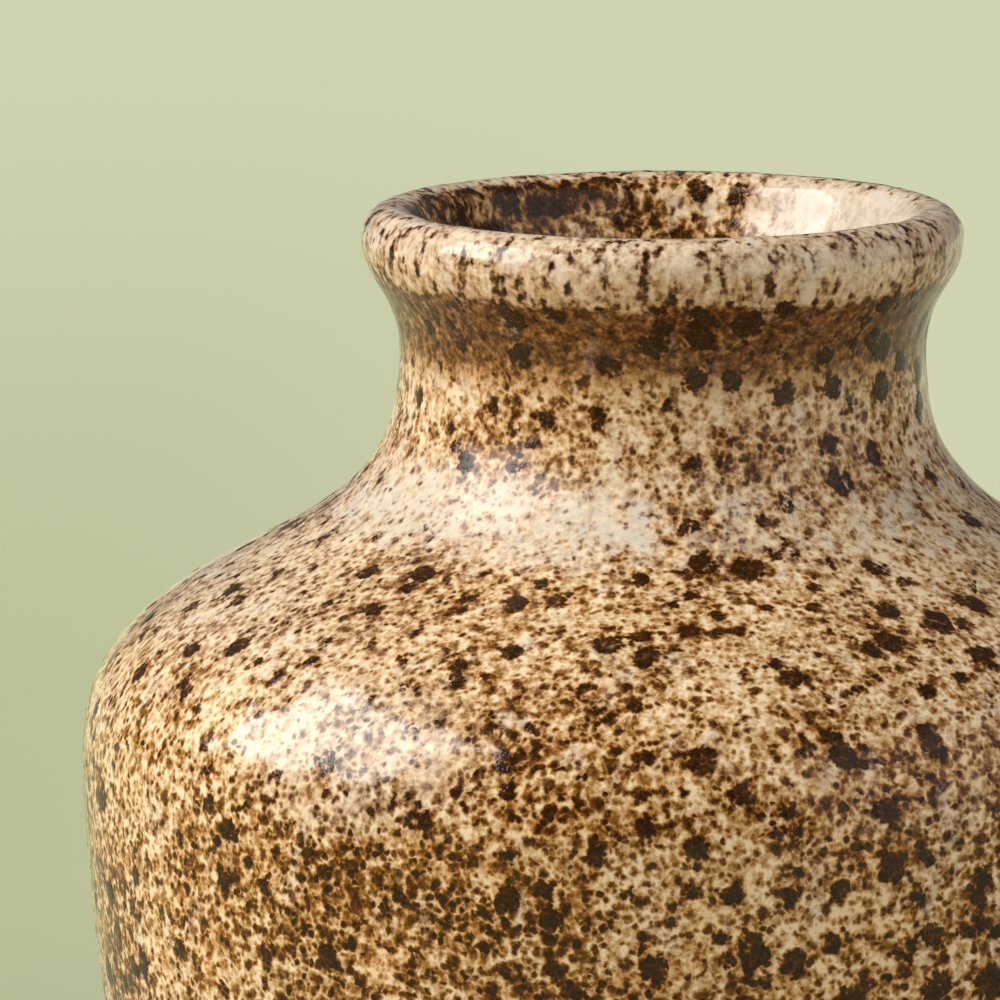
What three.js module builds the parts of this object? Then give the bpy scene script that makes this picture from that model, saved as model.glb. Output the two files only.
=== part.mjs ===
// Bud vase in speckled stoneware: millimetres, +Z up, origin at the centre of the plane it stands on.
//
// A pot and a neck collar are shaped from clay and luted together with slip. The fired clay then carries two
// coats of glaze: a liner poured inside, and an outer coat that runs from just above the foot, over the lip
// and down into the mouth, where the two coats meet. Every piece is turned about the Z axis.
import * as THREE from "three";

// Foot and floor of the pot
const FOOT_RADIUS = 32; // outer edge of the bare foot ring
const FOOT_WIDTH = 5; // of the ring that meets the table
const FOOT_HEIGHT = 3; // from the table to the recessed underside
const FOOT_BEVEL = 0.8; // on the ring's outer edge
const FLOOR_THICKNESS = 5;
const FLOOR_CORNER = 9; // round between the floor and the wall, inside

// Outside of the clay, from the foot up. Each rise is measured from the landmark below it
const BELLY_RADIUS = 45.5; // the widest line
const BELLY_RISE = 74; // foot ring to belly
const SHOULDER_RISE = 20.7; // belly to the root of the neck
const NECK_RISE = 11; // root of the neck to its waist
const LIP_FLARE_RISE = 8.7; // waist to the lip's widest line
const LIP_CROWN = 2; // widest line to the top of the rolled lip
const WAIST_RADIUS = 20.2; // the narrowest line of the neck
const NECK_ROOT_SPREAD = 3.7; // how far the root of the neck stands out from the waist
const LIP_SPREAD = 2.95; // how far the lip stands out from the waist

// The way the outside heads as it rises, in degrees turned up from straight out
const FOOT_SLOPE = 61; // where the wall leaves the foot ring
const NECK_ROOT_SLOPE = 130; // where the shoulder turns up into the neck
const UPRIGHT = 90; // at the belly, the waist and the lip

// How far each landmark pulls the curve its own way, as a share of the distance to the next landmark
const FOOT_PULL = 0.137;
const BELLY_PULL_DOWN = 0.266;
const BELLY_PULL_UP = 0.415;
const SHOULDER_PULL = 0.281;
const NECK_ROOT_PULL = 0.207;
const WAIST_PULL_DOWN = 0.629;
const WAIST_PULL_UP = 0.511;
const LIP_PULL = 0.316;

// Thicknesses
const WALL = 3.6; // of the clay, square to its surface
const SLIP = 0.8; // joint between the pot and the collar
const GLAZE = 0.6; // each coat
const BARE_CLAY = 2.5; // height of the wall left bare above the foot ring

// Fineness of the turned surfaces
const SEGMENTS = 40; // round the axis
const BODY_STEPS = 6;
const SHOULDER_STEPS = 9;
const NECK_STEPS = 5;
const FLARE_STEPS = 4;
const LIP_STEPS = 6;
const CORNER_STEPS = 4;

const STONEWARE = { color: 0xb08a63, roughness: 0.85, metalness: 0 };
const JOINING_SLIP = { color: 0xc09a72, roughness: 0.9, metalness: 0 };
const SPECKLED_GLAZE = { color: 0xa5783f, roughness: 0.25, metalness: 0 };
const LINER_GLAZE = { color: 0x8a6236, roughness: 0.3, metalness: 0 };

// Landmarks of the outside
const at = (radius, height) => new THREE.Vector2(radius, height);
const heading = (degrees) => at(1, 0).rotateAround(at(0, 0), THREE.MathUtils.degToRad(degrees));

const footTop = at(FOOT_RADIUS, FOOT_HEIGHT);
const belly = at(BELLY_RADIUS, footTop.y + BELLY_RISE);
const neckRoot = at(WAIST_RADIUS + NECK_ROOT_SPREAD, belly.y + SHOULDER_RISE);
const waist = at(WAIST_RADIUS, neckRoot.y + NECK_RISE);
const lip = at(WAIST_RADIUS + LIP_SPREAD, waist.y + LIP_FLARE_RISE);
const floorTop = FOOT_HEIGHT + FLOOR_THICKNESS;

// A fair curve between two landmarks, leaving and arriving at the given slopes
function sweep(from, fromSlope, fromPull, to, toSlope, toPull) {
  const span = from.distanceTo(to);
  const leaving = from.clone().addScaledVector(heading(fromSlope), fromPull * span);
  const arriving = to.clone().addScaledVector(heading(toSlope), -toPull * span);
  return new THREE.CubicBezierCurve(from, leaving, arriving, to);
}

// Stations along a curve: points of the clay's surface, each with the direction that faces out of the clay
function stations(curve, steps) {
  return Array.from({ length: steps + 1 }, (_, i) => {
    const along = curve.getTangent(i / steps);
    return { point: curve.getPoint(i / steps), out: at(along.y, -along.x) };
  });
}

// The station at a share of the way from one station to the next
function midStation(a, b, share) {
  return {
    point: a.point.clone().lerp(b.point, share),
    out: a.out.clone().lerp(b.out, share).normalize(),
  };
}

// The stretch of a rising line of stations that lies between two heights, with stations at both of its ends
function between(line, low, high) {
  const cut = [];
  line.slice(1).forEach((next, i) => {
    const last = line[i];
    const shareAt = (height) => (height - last.point.y) / (next.point.y - last.point.y);
    if (last.point.y < low && next.point.y > low) cut.push(midStation(last, next, shareAt(low)));
    if (next.point.y >= low && next.point.y <= high) cut.push(next);
    if (last.point.y < high && next.point.y > high) cut.push(midStation(last, next, shareAt(high)));
  });
  return line[0].point.y >= low ? [line[0], ...cut] : cut;
}

const points = (line) => line.map((station) => station.point);
const falling = (line) => [...line].reverse();
const raised = (line, height) => line.map(({ point, out }) => point.clone().addScaledVector(out, height));

// The clay's surface: outside from the foot ring to the lip's widest line, over the rolled lip, and inside
const body = sweep(footTop, FOOT_SLOPE, FOOT_PULL, belly, UPRIGHT, BELLY_PULL_DOWN);
const shoulder = sweep(belly, UPRIGHT, BELLY_PULL_UP, neckRoot, NECK_ROOT_SLOPE, SHOULDER_PULL);
const neck = sweep(neckRoot, NECK_ROOT_SLOPE, NECK_ROOT_PULL, waist, UPRIGHT, WAIST_PULL_DOWN);
const flare = sweep(waist, UPRIGHT, WAIST_PULL_UP, lip, UPRIGHT, LIP_PULL);
const crown = new THREE.EllipseCurve(lip.x - WALL / 2, lip.y, WALL / 2, LIP_CROWN, 0, Math.PI);

const outside = [
  ...stations(body, BODY_STEPS),
  ...stations(shoulder, SHOULDER_STEPS).slice(1),
  ...stations(neck, NECK_STEPS).slice(1),
  ...stations(flare, FLARE_STEPS).slice(1),
];
const rolledLip = stations(crown, LIP_STEPS).slice(1, -1);
const inside = outside.map(({ point, out }) => ({
  point: point.clone().addScaledVector(out, -WALL),
  out: out.clone().negate(),
}));

// The round corner that carries the inside of the wall down onto the floor
const wallFoot = floorTop + FLOOR_CORNER;
function floorCorner() {
  const [wallEnd] = between(inside, wallFoot, lip.y);
  const down = at(wallEnd.out.y, -wallEnd.out.x);
  const foot = wallEnd.point.clone().addScaledVector(down, (floorTop - wallEnd.point.y) / down.y);
  const onFloor = at(foot.x - FLOOR_CORNER, floorTop);
  return stations(new THREE.QuadraticBezierCurve(wallEnd.point, foot, onFloor), CORNER_STEPS).slice(1);
}
const floor = [...floorCorner(), { point: at(0, floorTop), out: at(0, 1) }];

// One turned piece: its outline runs up the outside and down the inside, and is spun about the Z axis
function turned(name, outline, finish) {
  const geometry = new THREE.LatheGeometry(outline, SEGMENTS).rotateX(Math.PI / 2);
  const piece = new THREE.Mesh(geometry, new THREE.MeshStandardMaterial(finish));
  piece.name = name;
  return piece;
}

const ring = (outline) => [...outline, outline[0]];

const seamBottom = neckRoot.y;
const seamTop = seamBottom + SLIP;

// The pot: foot ring, floor, wall and shoulder, open at the root of the neck
function pot() {
  const ringInside = FOOT_RADIUS - FOOT_WIDTH;
  const foot = [
    at(0, FOOT_HEIGHT),
    at(ringInside, FOOT_HEIGHT),
    at(ringInside, 0),
    at(FOOT_RADIUS - FOOT_BEVEL, 0),
    at(FOOT_RADIUS, FOOT_BEVEL),
  ];
  return turned("pot", [
    ...foot,
    ...points(between(outside, footTop.y, seamBottom)),
    ...points(falling(between(inside, wallFoot, seamBottom))),
    ...points(floor),
  ], STONEWARE);
}

// The slip that glues the collar to the pot
function lutingSlip() {
  return turned("luting_slip", ring([
    ...points(between(outside, seamBottom, seamTop)),
    ...points(falling(between(inside, seamBottom, seamTop))),
  ]), JOINING_SLIP);
}

// The neck collar, flared and rolled over at the lip
function neckCollar() {
  return turned("neck_collar", ring([
    ...points(between(outside, seamTop, lip.y)),
    ...points(rolledLip),
    ...points(falling(between(inside, seamTop, lip.y))),
  ]), STONEWARE);
}

// The outer coat of glaze: over the outside and the lip, and into the mouth as far as the waist
function outerGlaze() {
  const coated = [
    ...between(outside, footTop.y + BARE_CLAY, lip.y),
    ...rolledLip,
    ...falling(between(inside, waist.y, lip.y)),
  ];
  return turned("outer_glaze", ring([...raised(coated, GLAZE), ...falling(points(coated))]), SPECKLED_GLAZE);
}

// The liner glaze: from the waist down the inside of the wall and across the floor
function linerGlaze() {
  const coated = [...falling(between(inside, wallFoot, waist.y)), ...floor];
  return turned("liner_glaze", [...falling(points(coated)), ...raised(coated, GLAZE)], LINER_GLAZE);
}

const vase = new THREE.Group();
vase.name = "bud_vase";
vase.add(pot(), lutingSlip(), neckCollar(), outerGlaze(), linerGlaze());

export default vase;
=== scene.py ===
import math

import bpy
import numpy as np
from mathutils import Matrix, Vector
from mathutils.geometry import interpolate_bezier


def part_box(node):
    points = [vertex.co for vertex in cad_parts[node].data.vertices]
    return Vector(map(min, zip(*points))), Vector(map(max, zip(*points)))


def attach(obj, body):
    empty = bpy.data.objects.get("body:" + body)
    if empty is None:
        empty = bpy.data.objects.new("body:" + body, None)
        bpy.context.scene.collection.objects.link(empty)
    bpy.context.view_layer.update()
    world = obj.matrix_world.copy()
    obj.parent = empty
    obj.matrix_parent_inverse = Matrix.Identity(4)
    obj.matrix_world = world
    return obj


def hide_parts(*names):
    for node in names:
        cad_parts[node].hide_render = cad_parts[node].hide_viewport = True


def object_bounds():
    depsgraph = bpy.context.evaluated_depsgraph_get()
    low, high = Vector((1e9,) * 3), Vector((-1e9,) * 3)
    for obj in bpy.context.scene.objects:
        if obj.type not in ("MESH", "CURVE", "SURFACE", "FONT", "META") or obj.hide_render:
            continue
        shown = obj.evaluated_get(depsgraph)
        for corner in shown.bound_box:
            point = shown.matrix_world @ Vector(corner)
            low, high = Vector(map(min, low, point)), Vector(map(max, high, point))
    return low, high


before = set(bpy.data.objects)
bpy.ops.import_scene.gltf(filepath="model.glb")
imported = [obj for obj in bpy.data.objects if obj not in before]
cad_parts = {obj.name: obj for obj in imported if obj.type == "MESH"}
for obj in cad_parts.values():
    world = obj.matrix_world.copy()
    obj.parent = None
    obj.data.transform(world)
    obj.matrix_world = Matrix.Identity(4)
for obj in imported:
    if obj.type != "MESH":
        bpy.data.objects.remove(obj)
cad_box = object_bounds()

# The pot: foot ring, floor, wall and shoulder of buff stoneware, thrown on the wheel and trimmed at the foot.
# Glaze covers nearly all of it: what shows is the bare foot ring and the underside with its trimming rings.
MM = 0.001
UP = Vector((0, 0, 1))
FOOT_RADIUS = 32 * MM
FOOT_WIDTH = 5 * MM
FOOT_HEIGHT = 3 * MM
FOOT_EDGE = 0.8 * MM
RING_EDGE = 0.5 * MM
RECESS_EDGE = 0.7 * MM
TRIM_PITCH = 1.7 * MM
TRIM_DEPTH = 0.07 * MM
FLOOR_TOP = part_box("liner_glaze")[0].z
FLOOR_CORNER = 9 * MM
CORNER_LEAN = 1 * MM
WALL = 3.6 * MM
BELLY_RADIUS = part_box("pot")[1].x
BELLY_HEIGHT = 77 * MM
WAIST_RADIUS = 20.2 * MM
WAIST_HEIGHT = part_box("liner_glaze")[1].z
NECK_ROOT_RADIUS = WAIST_RADIUS + 3.7 * MM
NECK_ROOT_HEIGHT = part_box("pot")[1].z
LIP_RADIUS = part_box("neck_collar")[1].x
LIP_HEIGHT = 117.4 * MM
LIP_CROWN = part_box("neck_collar")[1].z - LIP_HEIGHT
FOOT_SLOPE = 61
NECK_ROOT_SLOPE = 130
FOOT_PULL = 0.137
BELLY_PULL_DOWN = 0.266
BELLY_PULL_UP = 0.415
SHOULDER_PULL = 0.281
NECK_ROOT_PULL = 0.207
WAIST_PULL_DOWN = 0.629
WAIST_PULL_UP = 0.511
LIP_PULL = 0.316
SMOOTH_STEPS = 160
CLAY_AROUND = 180
OUTSIDE_GAP = 1.5 * MM
INSIDE_GAP = 2 * MM
WELD = 0.002 * MM
SMOOTH_ANGLE = math.radians(35)
BUMP_DEPTH = 0.12 * MM


def heading(degrees):
    """The way a wall heads as it rises, in degrees turned up from straight out."""
    return Vector((math.cos(math.radians(degrees)), 0, math.sin(math.radians(degrees))))


def sweep(start, start_way, start_pull, end, end_way, end_pull):
    """A fair curve between two landmarks, each pulling it by a share of the distance between them."""
    span = (end - start).length
    leaving = start + start_way * (start_pull * span)
    arriving = end - end_way * (end_pull * span)
    return interpolate_bezier(start, leaving, arriving, end, SMOOTH_STEPS)


def faces_out(line):
    """The directions that face out of the clay along a line that runs up its outside and down its inside."""
    before, after = [line[0], *line[:-1]], [*line[1:], line[-1]]
    ways = [(b - a).normalized() for a, b in zip(before, after)]
    return [Vector((way.z, 0, -way.x)) for way in ways]


def spaced(line, gap):
    """The same line with its points about a gap apart."""
    points = np.array(line)
    run = np.concatenate([[0], np.cumsum(np.linalg.norm(np.diff(points, axis=0), axis=1))])
    places = np.linspace(0, run[-1], max(2, round(run[-1] / gap) + 1))
    return [Vector(p) for p in np.stack([np.interp(places, run, points[:, i]) for i in range(3)], axis=1)]


def part_of(line, low, high):
    """The points of a rising line from one height to another, with its two ends put in exactly."""
    points = np.array(line)
    ends = [Vector([np.interp(z, points[:, 2], points[:, i]) for i in range(3)]) for z in (low, high)]
    return [ends[0], *[p for p in line if low < p.z < high], ends[1]]


foot_top = Vector((FOOT_RADIUS, 0, FOOT_HEIGHT))
belly = Vector((BELLY_RADIUS, 0, BELLY_HEIGHT))
neck_root = Vector((NECK_ROOT_RADIUS, 0, NECK_ROOT_HEIGHT))
waist = Vector((WAIST_RADIUS, 0, WAIST_HEIGHT))
lip = Vector((LIP_RADIUS, 0, LIP_HEIGHT))
outside = [
    *sweep(foot_top, heading(FOOT_SLOPE), FOOT_PULL, belly, UP, BELLY_PULL_DOWN),
    *sweep(belly, UP, BELLY_PULL_UP, neck_root, heading(NECK_ROOT_SLOPE), SHOULDER_PULL)[1:],
    *sweep(neck_root, heading(NECK_ROOT_SLOPE), NECK_ROOT_PULL, waist, UP, WAIST_PULL_DOWN)[1:],
    *sweep(waist, UP, WAIST_PULL_UP, lip, UP, LIP_PULL)[1:],
]
rolled_lip = [
    lip + Vector((WALL / 2 * (math.cos(turn) - 1), 0, LIP_CROWN * math.sin(turn)))
    for turn in np.linspace(0, math.pi, SMOOTH_STEPS)[1:-1]
]
inside = [p - way * WALL for p, way in zip(outside, faces_out(outside + rolled_lip))]
wall_foot = part_of(inside, FLOOR_TOP + FLOOR_CORNER, LIP_HEIGHT)[0]
floor_line = interpolate_bezier(
    wall_foot,
    Vector((wall_foot.x - CORNER_LEAN, 0, FLOOR_TOP)),
    Vector((wall_foot.x - 0.3 * FLOOR_CORNER, 0, FLOOR_TOP)),
    Vector((wall_foot.x - FLOOR_CORNER, 0, FLOOR_TOP)),
    SMOOTH_STEPS,
)[1:] + [Vector((0, 0, FLOOR_TOP))]


def turned(name, outline, around):
    """A piece turned about the Z axis: a point is drawn out along the outline, then spun once round."""
    bpy.ops.object.select_all(action="DESELECT")
    bpy.ops.mesh.primitive_plane_add(size=MM)
    bpy.ops.object.mode_set(mode="EDIT")
    bpy.ops.mesh.merge(type="CENTER")
    bpy.ops.transform.translate(value=outline[0])
    for last, point in zip(outline, outline[1:]):
        bpy.ops.mesh.extrude_vertices_move(TRANSFORM_OT_translate={"value": point - last})
    bpy.ops.mesh.select_all(action="SELECT")
    bpy.ops.mesh.spin(steps=around, angle=math.tau, center=(0, 0, 0), axis=(0, 0, 1))
    bpy.ops.mesh.select_all(action="SELECT")
    bpy.ops.mesh.remove_doubles(threshold=WELD)
    bpy.ops.mesh.normals_make_consistent(inside=False)
    bpy.ops.object.mode_set(mode="OBJECT")
    bpy.ops.object.shade_smooth_by_angle(angle=SMOOTH_ANGLE)
    piece = bpy.context.object
    piece.name = name
    return piece


class Wire:
    """A value in a node tree. Sums and products of wires add the Math nodes that work them out."""

    def __init__(self, tree, socket=None):
        self.tree = tree
        self.socket = socket

    def node(self, kind, sockets, output=0, stops=None, **settings):
        """Adds a node of any kind: its settings and ramp stops, then the values or wires of its sockets."""
        made = self.tree.nodes.new(kind)
        for setting, value in settings.items():
            setattr(made, setting, value)
        if stops:
            ramp = made.color_ramp.elements
            for position, tone in stops[1:-1]:
                ramp.new(position).color = tone
            ramp[0].position, ramp[0].color = stops[0]
            ramp[-1].position, ramp[-1].color = stops[-1]
        for key, value in sockets.items():
            if isinstance(value, Wire):
                self.tree.links.new(value.socket, made.inputs[key])
            else:
                made.inputs[key].default_value = value
        return Wire(self.tree, made.outputs[output])

    def maths(self, operation, *values):
        return self.node("ShaderNodeMath", dict(enumerate(values)), operation=operation)

    def __add__(self, other):
        return self.maths("ADD", self, other)

    def __sub__(self, other):
        return self.maths("SUBTRACT", self, other)

    def __rsub__(self, other):
        return self.maths("SUBTRACT", other, self)

    def __mul__(self, other):
        return self.maths("MULTIPLY", self, other)

    __radd__, __rmul__ = __add__, __mul__

    def at_most(self, other):
        return self.maths("MINIMUM", self, other)

    def at_least(self, other):
        return self.maths("MAXIMUM", self, other)

    def rise(self, low, high):
        """0 below low, 1 above high and a soft step between. It falls instead where low is the higher."""
        return self.node("ShaderNodeMapRange", {0: self, 1: low, 2: high}, interpolation_type="SMOOTHSTEP")

    def between(self, first, second, **settings):
        """The first colour with this share of the second over it."""
        return self.node("ShaderNodeMix", {0: self, 6: first, 7: second}, 2, data_type="RGBA", **settings)

    def part(self, axis):
        """One of the three numbers of a vector."""
        return self.node("ShaderNodeSeparateXYZ", {0: self}, axis)

    def length(self):
        return self.node("ShaderNodeVectorMath", {0: self}, 1, operation="LENGTH")

    def scaled(self, factor):
        return self.node("ShaderNodeVectorMath", {0: self, 3: factor}, operation="SCALE")

    def moved(self, offset):
        return self.node("ShaderNodeVectorMath", {0: self, 1: offset}, operation="ADD")

    def stretched(self, shares):
        """A vector with each of its three numbers multiplied by its own share."""
        return self.node("ShaderNodeVectorMath", {0: self, 1: shares}, operation="MULTIPLY")

    def noise(self, grain, detail=2.0, output=0, roughness=0.5):
        """Cloudy variation of a place in millimetres, from 0 to 1, whose lumps are about a grain across."""
        sockets = {"Vector": self, "Scale": 0.5 / grain, "Detail": detail, "Roughness": roughness}
        return self.node("ShaderNodeTexNoise", sockets, output)

    def shaken(self, grain, amount):
        """A place pushed about by cloudy variation of a grain, so that what is drawn there is uneven."""
        return self.moved(self.noise(grain, output=1).moved((-0.5, -0.5, -0.5)).scaled(amount))

    def cells(self, spacing):
        """Distance to the nearest of many points scattered about a spacing apart, as a share of the spacing.

        The second wire is that point's luck: three numbers drawn for it, each from 0 to 1.
        """
        reach = self.node("ShaderNodeTexVoronoi", {"Vector": self, "Scale": 1 / spacing, "Randomness": 0.9})
        return reach, Wire(self.tree, reach.socket.node.outputs["Color"])


def colour(code):
    """A colour written as six hexadecimal digits, as the light values that a shader takes."""
    parts = [int(code[i:i + 2], 16) / 255 for i in (0, 2, 4)]
    return (*[c / 12.92 if c <= 0.04045 else ((c + 0.055) / 1.055) ** 2.4 for c in parts], 1)


def new_finish(name):
    """A material, its shader, and the place on the object in millimetres as a wire."""
    material = bpy.data.materials.new(name)
    material.use_nodes = True
    tree = material.node_tree
    place = Wire(tree).node("ShaderNodeTexCoord", {}, "Object").scaled(1 / MM)
    return material, tree.nodes["Principled BSDF"], place


def feed(wire, shader, socket):
    wire.tree.links.new(wire.socket, shader.inputs[socket])


def feed_bumps(height, strength, shader):
    """Fine unevenness that only the light shows. At full strength a height of 1 is one bump depth."""
    bumps = height.node("ShaderNodeBump", {"Strength": strength, "Distance": BUMP_DEPTH, "Height": height})
    feed(bumps, shader, "Normal")


def stoneware_finish(name, body, shade):
    """Fired clay: mottled, with pale grit and dark iron flecks standing a little out of the surface."""
    material, shader, place = new_finish(name)
    mottle = place.noise(2.5, 4.0)
    reach, luck = place.shaken(0.4, 0.5).cells(0.6)
    grit = (reach - 0.3 * luck.part(0)).rise(0.16, -0.02) * luck.part(1)
    flecks = place.shaken(0.3, 0.2).cells(1.6)[0].rise(0.2, 0.12)
    clay = mottle.rise(0.3, 0.7).between(colour(shade), colour(body))
    clay = (grit * 0.55).between(clay, colour("DCC3A0"))
    clay = (flecks * 0.85).between(clay, colour("4A2E1B"))
    feed(clay, shader, "Base Color")
    feed(0.78 + mottle * 0.2, shader, "Roughness")
    feed_bumps(grit * 0.5 + place.noise(0.25, 3.0), 0.55, shader)
    return material


ring_inside = FOOT_RADIUS - FOOT_WIDTH
underside = [
    Vector((r, 0, FOOT_HEIGHT + TRIM_DEPTH * (1 - math.cos(math.tau * r / TRIM_PITCH))))
    for r in np.arange(0, ring_inside - RECESS_EDGE - 0.1 * MM, TRIM_PITCH / 6)
]
foot = [
    Vector((ring_inside - RECESS_EDGE, 0, FOOT_HEIGHT)),
    Vector((ring_inside, 0, FOOT_HEIGHT - RECESS_EDGE)),
    Vector((ring_inside, 0, RING_EDGE)),
    Vector((ring_inside + RING_EDGE, 0, 0)),
    Vector((FOOT_RADIUS - FOOT_EDGE, 0, 0)),
    Vector((FOOT_RADIUS - 0.25 * FOOT_EDGE, 0, 0.25 * FOOT_EDGE)),
    Vector((FOOT_RADIUS, 0, FOOT_EDGE)),
]
pot = turned("stoneware_pot", [
    *underside,
    *foot,
    *spaced(part_of(outside, FOOT_HEIGHT, NECK_ROOT_HEIGHT), OUTSIDE_GAP),
    *reversed(spaced(part_of(inside, FLOOR_TOP + FLOOR_CORNER, NECK_ROOT_HEIGHT), INSIDE_GAP)),
    *spaced(floor_line[:-1], INSIDE_GAP),
    floor_line[-1],
], CLAY_AROUND)
stoneware = stoneware_finish("buff_stoneware", "B88F66", "A07650")
pot.data.materials.append(stoneware)
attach(pot, "root")
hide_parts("pot")

# The luting slip: clay let down with water to a paste, brushed on the scored rims so that pot and collar
# stick together. It fires into a thin pale ring between them, hidden by both coats of glaze.
SEAM_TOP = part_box("luting_slip")[1].z
SLIP_GAP = 0.4 * MM
slip = turned("luting_slip_ring", [
    *spaced(part_of(outside, NECK_ROOT_HEIGHT, SEAM_TOP), SLIP_GAP),
    *reversed(spaced(part_of(inside, NECK_ROOT_HEIGHT, SEAM_TOP), SLIP_GAP)),
    neck_root,
], CLAY_AROUND)
slip.data.materials.append(stoneware_finish("fired_slip", "C9A47C", "B98F66"))
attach(slip, "root")
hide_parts("luting_slip")

# The neck collar: a separately thrown ring of the same stoneware, waisted, flared and rolled over at the lip.
# It is luted to the pot at the crease where shoulder and neck meet, and glazed all over.
COLLAR_GAP = 1 * MM
LIP_GAP = 0.5 * MM
collar_outside = part_of(outside, SEAM_TOP, LIP_HEIGHT)
collar = turned("stoneware_collar", [
    *spaced(collar_outside, COLLAR_GAP),
    *spaced(rolled_lip, LIP_GAP),
    *reversed(spaced(part_of(inside, SEAM_TOP, LIP_HEIGHT), COLLAR_GAP)),
    collar_outside[0],
], CLAY_AROUND)
collar.data.materials.append(stoneware)
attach(collar, "root")
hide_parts("neck_collar")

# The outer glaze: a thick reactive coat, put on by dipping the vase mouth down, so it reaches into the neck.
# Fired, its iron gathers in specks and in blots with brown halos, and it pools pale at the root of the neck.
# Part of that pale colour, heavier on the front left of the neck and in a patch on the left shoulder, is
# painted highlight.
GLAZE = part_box("outer_glaze")[1].x - BELLY_RADIUS
GLAZE_LINE = FOOT_HEIGHT + 2.5 * MM
GLAZE_GAP = 0.8 * MM
GLAZE_BACK_GAP = 3 * MM
GLAZE_AROUND = 400
GLAZE_SMOOTH_ANGLE = math.radians(50)
EDGE_ROUND = 0.9 * MM
EDGE_BEAD = 0.3 * MM
BEAD_PLACE = 1.4 * MM
BEAD_WIDTH = 1.1 * MM
EDGE_SLOPE = 62
EDGE_WANDER = 2.4 * MM
SWELL = 0.3 * MM
ORANGE_PEEL = 0.12 * MM
BLOT_RISE = 0.05 * MM
FINE_LUMPS = 0.05 * MM


def coat_depth(run):
    """Depth of the coat at a distance from its lower edge, where it ends in a rounded, thicker bead."""
    bead = EDGE_BEAD * math.exp(-((run - BEAD_PLACE) / BEAD_WIDTH) ** 2)
    return (GLAZE + bead) * math.sqrt(1 - max(0, 1 - run / EDGE_ROUND) ** 2)


dipped = [
    *part_of(outside, GLAZE_LINE, LIP_HEIGHT),
    *rolled_lip,
    *reversed(part_of(inside, WAIST_HEIGHT, LIP_HEIGHT)),
]
runs = np.concatenate([[0], np.cumsum([(b - a).length for a, b in zip(dipped, dipped[1:])])])
coated = [p + way * coat_depth(run) for p, way, run in zip(dipped, faces_out(dipped), runs)]
glaze = turned("speckled_glaze_coat", [*spaced(coated, GLAZE_GAP), dipped[-1]], GLAZE_AROUND)
glaze_back = turned("glaze_back", spaced(dipped, GLAZE_BACK_GAP), GLAZE_AROUND)


def spots(place, spacing, size, soft):
    """Spots about a spacing apart, some darker than others. Size and soft edge are shares of the spacing."""
    reach, luck = place.cells(spacing)
    spot = (reach - 0.25 * (luck.part(0) - 0.5) - size).rise(soft / 2, -soft / 2)
    return spot * (0.5 + 0.5 * luck.part(1))


def specks(place, crowding):
    """The small specks of iron all over: 0 in the clear glaze, up to 1 in the heart of a speck."""
    ragged = place.shaken(0.9, 0.8).shaken(0.35, 0.35)
    small = spots(ragged, 0.6, crowding + 0.34, 0.9)
    large = spots(ragged.moved((8, 0, -9)), 1.15, crowding + 0.29, 0.85)
    return small.at_least(large)


def blots(place):
    """The larger gatherings of iron, of many sizes: 1 in the heart of a blot, softly falling to 0."""
    ragged = place.shaken(1.2, 0.7).shaken(0.4, 0.35)
    side, height = place.part(0), place.part(2)
    size = 0.03 + 0.3 * (place.noise(11, 1.0) - 0.5) + 0.12 * side.rise(-45, 40)
    size = size + 0.03 * side.rise(-10, 30) * height.rise(92, 72)
    layers = [ragged.moved((0, 0, shift)).cells(3.6) for shift in (50, 100)]
    some, others = [
        (reach - size - 0.25 * luck.part(0) * luck.part(0)).rise(0.18, -0.12)
        for reach, luck in layers
    ]
    return some.at_least(others)


def move_points(piece, name, offset):
    """Moves a piece's points, each by an offset worked out from its place in millimetres."""
    tree = bpy.data.node_groups.new(name, "GeometryNodeTree")
    tree.interface.new_socket("Geometry", in_out="INPUT", socket_type="NodeSocketGeometry")
    tree.interface.new_socket("Geometry", in_out="OUTPUT", socket_type="NodeSocketGeometry")
    start = Wire(tree)
    place = start.node("GeometryNodeInputPosition", {}).scaled(1 / MM)
    moved = start.node("GeometryNodeSetPosition", {
        "Geometry": start.node("NodeGroupInput", {}),
        "Offset": offset(place),
    })
    tree.links.new(moved.socket, tree.nodes.new("NodeGroupOutput").inputs[0])
    bpy.ops.object.select_all(action="DESELECT")
    bpy.context.view_layer.objects.active = piece
    piece.select_set(True)
    bpy.ops.object.modifier_add(type="NODES")
    modifier = piece.modifiers[-1]
    modifier.node_group = tree
    bpy.ops.object.modifier_apply(modifier=modifier.name)


def glaze_relief(place):
    """The coat's own surface: slow swells, orange peel, and blots that stand a little proud of it."""
    height = place.part(2)
    reach = place.stretched((1, 1, 0)).length()
    in_mouth = reach.rise(20.4, 19.6)
    free = height.rise(6.5, 9) * (1 - in_mouth * height.rise(112, 109.5))
    swell = (place.noise(8, 1.0) - 0.5) * SWELL
    peel = (place.noise(1.3, 1.0) - 0.5) * ORANGE_PEEL
    lumps = blots(place) * BLOT_RISE + place.noise(0.5, 1.0) * FINE_LUMPS
    facing = place.node("GeometryNodeInputNormal", {})
    return facing.scaled((swell + peel + lumps) * free)


def edge_wave(place):
    """The lower edge of the coat wanders up and down the wall, less and less above it."""
    near_edge = place.part(2).rise(14, 6)
    wander = (place.noise(9, 1.0) - 0.5) * near_edge * EDGE_WANDER
    outward = place.node("ShaderNodeVectorMath", {0: place.stretched((1, 1, 0))}, operation="NORMALIZE")
    up_the_wall = outward.scaled(heading(EDGE_SLOPE).x).moved((0, 0, heading(EDGE_SLOPE).z))
    return up_the_wall.scaled(wander)


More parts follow.
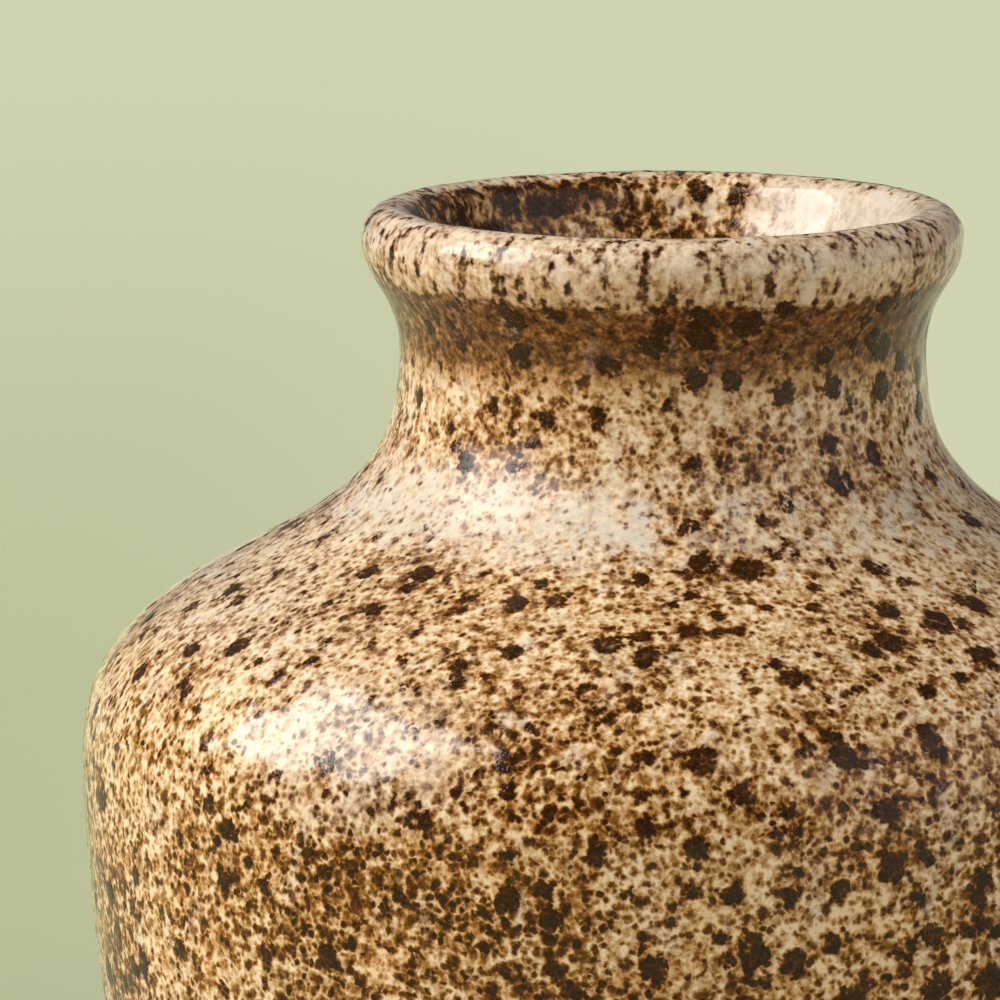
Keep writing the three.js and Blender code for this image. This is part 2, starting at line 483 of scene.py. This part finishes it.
move_points(glaze, "glaze_relief", glaze_relief)
for sheet in (glaze, glaze_back):
    move_points(sheet, "edge_wave", edge_wave)
bpy.ops.object.select_all(action="DESELECT")
glaze_back.select_set(True)
glaze.select_set(True)
bpy.context.view_layer.objects.active = glaze
bpy.ops.object.join()
bpy.ops.object.mode_set(mode="EDIT")
bpy.ops.mesh.select_all(action="SELECT")
bpy.ops.mesh.remove_doubles(threshold=WELD)
bpy.ops.mesh.normals_make_consistent(inside=False)
bpy.ops.object.mode_set(mode="OBJECT")
bpy.ops.object.shade_smooth_by_angle(angle=GLAZE_SMOOTH_ANGLE)


def speckled_glaze_finish():
    """A glossy reactive glaze, coloured by how much iron lies at each place, from cream to nearly black."""
    material, shader, place = new_finish("speckled_glaze")
    shader.inputs["IOR"].default_value = 1.4

    # Variation, from broad to fine, and then drawn out down the wall. A moved place gives another pattern.
    upright = place.stretched((1, 1, 0.3))
    drift = place.noise(5, 2.0) - 0.5
    clumps = place.noise(1.1, 2.0) - 0.5
    mottle = place.moved((0, 0, 31)).noise(0.36) - 0.5
    grain = place.noise(0.15, 2.0) - 0.5
    streaks = upright.noise(1.0, 3.0) - 0.5
    threads = upright.moved((40, 0, 0)).noise(1.1, 3.0).rise(0.55, 0.75)
    smears = (upright.moved((9, 0, 0)).noise(0.6) + 0.4 * mottle).rise(0.48, 0.7)

    # Zones of the vase. Those bounded by level rather than height have an uneven, runny border.
    side, depth, height = [place.part(axis) for axis in range(3)]
    level = height + (place.noise(4, 2.0) - 0.5) * 1.5 + (upright.noise(0.7, 2.0) - 0.5) * 2.5
    in_mouth = place.stretched((1, 1, 0)).length().rise(20.6, 19.8) * height.rise(104, 106)
    # Inside the mouth on the right, where the key box reflects, the glaze is paler and whiter: partly pale
    # glaze, partly painted highlight.
    mouth_right_pale_and_painted_highlight = in_mouth * side.rise(4, 12)
    lip_top = level.rise(116.6, 118.2) * (1 - in_mouth)
    lip_face = level.rise(114.5, 115.3) * (1 - in_mouth)
    band = level.rise(105.5, 110.5) * level.rise(115.3, 114.5) * (1 - in_mouth)
    neck = height.rise(99, 103) * height.rise(112, 108)
    root_of_neck = height.rise(93, 97) * height.rise(107, 102)
    shoulder_left = side.rise(-12, -36) * height.rise(84, 91)
    shoulder_right = side.rise(5, 35) * height.rise(78, 86)
    low_body = height.rise(92, 72)

    # Pale pools at the root of the neck, mostly on the front left, where they are partly painted highlight,
    # and a painted highlight on the left shoulder.
    # The front left of the neck root, where the key box reflects: the pool is heavier there as painted
    # highlight.
    front_left_highlight = side.rise(6, -10) * depth.rise(0, -12)
    patchy = (upright.moved((0, 60, 0)).noise(0.9, 4.0, roughness=0.6) + 0.15 * front_left_highlight).rise(0.42, 0.68)
    # A painted highlight: a pale patch on the left shoulder, round the place where the key box reflects.
    painted_highlight_patch = place.moved((23, 38, -83)).stretched((1, 1, 1.8)).length().rise(14, 4)
    pool_and_painted_highlight = level.rise(94, 97.5) * level.rise(103, 99) * patchy
    pool_and_painted_highlight = pool_and_painted_highlight.at_least(0.6 * painted_highlight_patch * patchy)

    # Specks and blots of iron. On the lip the specks are drawn out downwards.
    runny = place.moved(place.node("ShaderNodeCombineXYZ", {2: -0.55 * (height - 114.9).at_least(0)}))
    crowding = 0.15 + 0.2 * clumps + 0.35 * drift + 0.9 * mottle
    crowding = crowding + 0.09 * low_body + 0.02 * neck + 0.1 * band - 0.04 * lip_face - 0.05 * threads
    speck_depth = 0.67 + 0.25 * low_body - 0.25 * lip_face - 0.15 * pool_and_painted_highlight - 0.3 * mouth_right_pale_and_painted_highlight
    halo = blots(place) * (1 - 0.7 * lip_face) * (1 - 0.9 * pool_and_painted_highlight) * (1 - 0.8 * mouth_right_pale_and_painted_highlight)
    blot = (halo + 0.7 * grain + 0.5 * mottle).rise(0.32, 0.95)
    iron = 0.11 + specks(runny, crowding) * speck_depth + 0.22 * halo + 0.4 * blot

    # More or less iron by variation and by zone
    iron = iron + 0.5 * mottle + 0.3 * clumps + 0.35 * drift + 0.5 * grain - 0.05 * threads
    iron = iron - 0.1 * low_body - 0.13 * side.rise(-22, -42) - 0.13 * shoulder_right
    iron = iron - 0.05 * neck * side.rise(-6, -18)
    iron = iron + lip_face * (0.02 + 0.42 * smears)
    # Inside the mouth the glaze is browner toward the left, where shade falls: partly brown glaze, partly
    # painted shade.
    iron = iron + in_mouth * (0.42 * side.rise(10, -13) - 0.06 + 1.2 * streaks * side.rise(14, 4))
    iron = iron.at_least(band * (0.63 + 0.8 * mottle + 0.4 * grain))
    iron = iron.at_most(0.86 + 0.7 * grain + 0.5 * mottle)

    # Colour: cream to nearly black by the iron, rusty in patches, and clouded white where the glaze is thick
    # and where highlight is painted
    tones = iron.node("ShaderNodeValToRGB", {0: iron}, stops=[
        (0.04, colour("F6DAB1")),
        (0.2, colour("DDBB90")),
        (0.31, colour("CEA570")),
        (0.4, colour("BB8D53")),
        (0.49, colour("9F6D2F")),
        (0.58, colour("804F13")),
        (0.68, colour("5E3404")),
        (0.82, colour("3C2002")),
        (1.0, colour("241301")),
    ])
    rust = place.moved((0, 17, 0)).noise(2.5, 3.0).rise(0.42, 0.66) * (0.25 + 0.75 * low_body)
    tones = rust.between(tones, (1, 0.93, 0.8, 1), blend_type="MULTIPLY")
    white = 0.08 - 0.08 * low_body + 0.4 * threads + 0.25 * shoulder_left
    white = white + pool_and_painted_highlight * (0.66 + 1.5 * mottle + grain + 0.8 * streaks)
    white = white + 0.25 * lip_top + 0.08 * lip_face + 0.6 * mouth_right_pale_and_painted_highlight
    cover = white.at_most(0.92) * iron.rise(0.85, 0.25)
    feed(cover.between(tones, colour("D6CAB8")), shader, "Base Color")

    # Surface: smooth and glossy, duller at the root of the neck, pitted and rough on the blots
    feed(0.1 + 0.07 * blot + 0.13 * root_of_neck, shader, "Roughness")
    pits = place.shaken(0.2, 0.15).cells(0.45)[0].rise(0.16, 0.34)
    roughness = (pits + place.noise(0.22, 2.0)) * (0.1 + 0.5 * blot)
    feed_bumps(place.noise(1.1, 2.0) * 0.5 + roughness, 0.4, shader)
    return material


glaze.data.materials.append(speckled_glaze_finish())
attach(glaze, "root")
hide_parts("outer_glaze")

# The liner glaze: a brown glaze poured in, swilled round and poured out, so that it lines wall and floor.
# It meets the outer coat at the waist of the neck and makes the vase watertight.
LINER_GAP = 1.2 * MM
LINER_BACK_GAP = 3 * MM
LINER_AROUND = 240
poured = [*reversed(part_of(inside, FLOOR_TOP + FLOOR_CORNER, WAIST_HEIGHT)), *floor_line]
lined = [p + way * GLAZE for p, way in zip(poured, faces_out(poured))]
liner = turned("brown_liner_glaze", [
    poured[-1],
    *reversed(spaced(poured[:-1], LINER_BACK_GAP)),
    *spaced(lined[:-1], LINER_GAP),
    lined[-1],
], LINER_AROUND)


def liner_finish():
    """Glossy brown glaze with darker runs and a few pale streaks."""
    material, shader, place = new_finish("brown_liner_glaze")
    streaks = place.stretched((1, 1, 0.15)).noise(1.4, 3.0)
    iron = 1.2 * (place.noise(0.4, 3.0) - 0.5) + 1.2 * (streaks - 0.5) + 0.6
    tones = iron.node("ShaderNodeValToRGB", {0: iron}, stops=[
        (0.0, colour("D9BE8E")),
        (0.3, colour("A87235")),
        (0.6, colour("5B3614")),
        (1.0, colour("1B0F07")),
    ])
    feed(tones, shader, "Base Color")
    feed(0.2 + 0.1 * streaks, shader, "Roughness")
    feed_bumps(place.noise(1.2, 3.0), 0.4, shader)
    return material


liner.data.materials.append(liner_finish())
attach(liner, "root")
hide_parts("liner_glaze")

# The stage: a wide matte floor of pale sage paper, which is all the background there is.
# Away from the vase, the camera and reflections see the paper's own plain colour, with painted shade deeper
# to the near left.
# Near the vase it is lit, so that it holds the shadow, and it throws a plainer light back on the glaze.
FLOOR_REACH = 6
FLOOR_AROUND = 96
LIT_TO = 150
PLAIN_FROM = 330
bpy.ops.object.select_all(action="DESELECT")
bpy.ops.mesh.primitive_circle_add(vertices=FLOOR_AROUND, radius=FLOOR_REACH, fill_type="NGON")
floor = bpy.context.object
floor.name = "sage_floor"
paper, paper_shader, paper_place = new_finish("sage_paper")
paper_shader.inputs["Roughness"].default_value = 1
paper_shader.inputs["Specular IOR Level"].default_value = 0
rays = ("Is Camera Ray", "Is Glossy Ray", "Is Transmission Ray")
camera_ray, glossy_ray, passing_ray = [paper_place.node("ShaderNodeLightPath", {}, ray) for ray in rays]
shown = camera_ray.at_least(glossy_ray).at_least(passing_ray)
feed(shown.between(colour("C0B9A4"), colour("B6B896")), paper_shader, "Base Color")
# Painted shade: the paper's plain colour darkens toward the near left.
painted_shade_near_left = paper_place.part(0).rise(40, -90) * paper_place.part(1).rise(1300, 200)
plain = painted_shade_near_left.between(colour("D0D3B0"), colour("BABE96"))
ground = paper_place.node("ShaderNodeMixShader", {
    0: shown * paper_place.length().rise(LIT_TO, PLAIN_FROM),
    1: Wire(paper.node_tree, paper_shader.outputs[0]),
    2: paper_place.node("ShaderNodeEmission", {"Color": plain}),
})
feed(ground, paper.node_tree.nodes["Material Output"], "Surface")
floor.data.materials.append(paper)

# The light: a big soft box to the left and above, which makes the bright highlights, and a wide weak one to
# the right. A third, above the camera, brightens the front and shows in no reflection. The world adds a
# little even light from all round.
LIGHT_AIM = Vector((0, 0, 85 * MM))
SURROUND = 0.13


def soft_box(name, azimuth, elevation, distance, width, height, brightness):
    """A rectangular lamp that faces the vase. A brightness of 1 is that of a white surface in plain light."""
    across = math.cos(math.radians(elevation)) * distance
    away = Vector((
        across * math.sin(math.radians(azimuth)),
        -across * math.cos(math.radians(azimuth)),
        distance * math.sin(math.radians(elevation)),
    ))
    bpy.ops.object.light_add(type="AREA", location=LIGHT_AIM + away)
    lamp = bpy.context.object
    lamp.name = name
    lamp.rotation_euler = away.to_track_quat("Z", "Y").to_euler()
    lamp.data.shape = "RECTANGLE"
    lamp.data.size, lamp.data.size_y = width, height
    lamp.data.energy = brightness * math.pi * width * height
    return lamp


soft_box("key_box", azimuth=-80, elevation=38, distance=1.0, width=0.74, height=0.72, brightness=7.8)
soft_box("right_box", azimuth=65, elevation=22, distance=1.3, width=1.8, height=1.8, brightness=0.54)
fill_box = soft_box("fill_box", azimuth=10, elevation=38, distance=1.5, width=1.2, height=1.0, brightness=1.3)
fill_box.visible_glossy = False
world = bpy.data.worlds.new("studio")
bpy.context.scene.world = world
world.use_nodes = True
world.node_tree.nodes["Background"].inputs["Color"].default_value = (SURROUND, SURROUND, SURROUND, 1)

# The camera: a long lens some way off, looking down a little at the neck and shoulder.
# It puts the middle of the lip's top on its pixel of the image, at the photograph's scale.
IMAGE = 1000
LIP_PIXEL = (662, 204)
PIXELS_PER_METRE = 12590
CAMERA_DISTANCE = 0.7
CAMERA_TILT = math.radians(7.2)
SENSOR = 36
VIEW_LIMIT = 50
top = cad_box[1].z
eye = Vector((0, -CAMERA_DISTANCE, top + CAMERA_DISTANCE * math.tan(CAMERA_TILT)))
aim = Vector((
    (IMAGE / 2 - LIP_PIXEL[0]) / PIXELS_PER_METRE,
    0,
    top - (IMAGE / 2 - LIP_PIXEL[1]) / PIXELS_PER_METRE / math.cos(CAMERA_TILT),
))
bpy.ops.object.camera_add(location=eye, rotation=(eye - aim).to_track_quat("Z", "Y").to_euler())
camera = bpy.context.object
camera.data.sensor_width = SENSOR
camera.data.lens = SENSOR * PIXELS_PER_METRE * (aim - eye).length / IMAGE
camera.data.clip_end = VIEW_LIMIT
bpy.context.scene.camera = camera
bpy.context.scene.view_settings.view_transform = "Standard"
